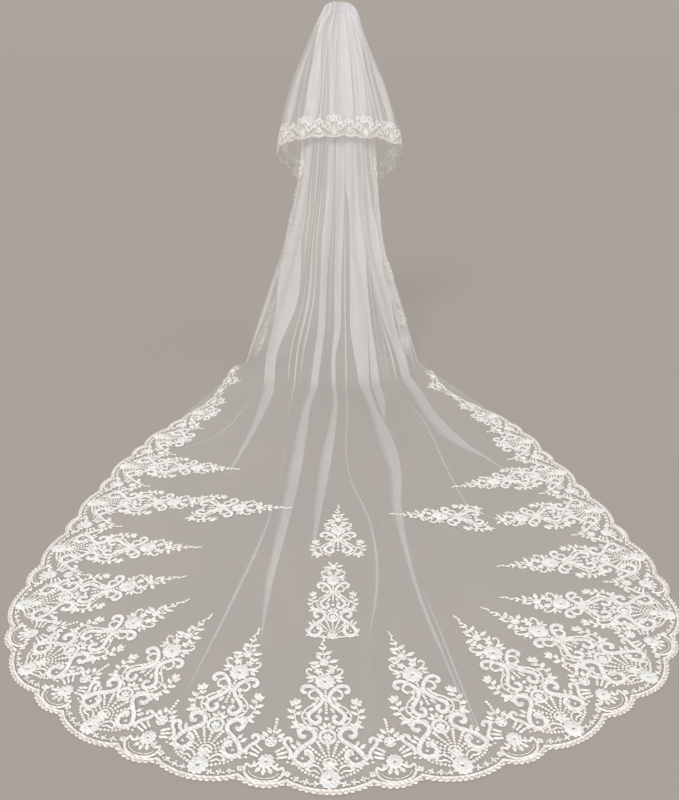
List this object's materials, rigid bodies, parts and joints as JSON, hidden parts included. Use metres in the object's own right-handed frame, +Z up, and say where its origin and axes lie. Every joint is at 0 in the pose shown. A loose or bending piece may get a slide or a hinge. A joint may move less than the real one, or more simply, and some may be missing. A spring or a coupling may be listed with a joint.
{
  "type": "two-tier bridal veil on a hair comb",
  "caption": "Worn bridal veil: a short gathered tier over a long tulle tier that falls from a hair comb and spreads into a floor train, edged with scalloped corded lace.",
  "frame": {"origin": "the comb's seat in the hair, at the front edge and top face of the comb's bar, on the middle line", "axes": "+Z up, +Y the way the wearer faces, +X to the wearer's right as seen from behind; the train lies towards -Y on a floor 1.600 m below the origin"},
  "size_m": [1.7415, 2.8844, 1.6368],
  "materials": {
    "tulle": "soft nylon tulle, cool white, see-through",
    "lace": "corded embroidery with satin and bead details, bright ivory white",
    "comb": "plain polished wire-comb metal"
  },
  "bodies": {
    "root": {"comb": "comb", "drop_tulle": "tulle", "train_tulle": "tulle", "upper_tulle": "tulle", "upper_lace": "lace", "left_edge_lace": "lace", "right_edge_lace": "lace", "hem_lace_left": "lace", "hem_lace_end": "lace", "hem_lace_right": "lace", "motif_middle_upper": "lace", "motif_middle_lower": "lace", "motif_left": "lace", "motif_right": "lace"}
  },
  "joints": []
}
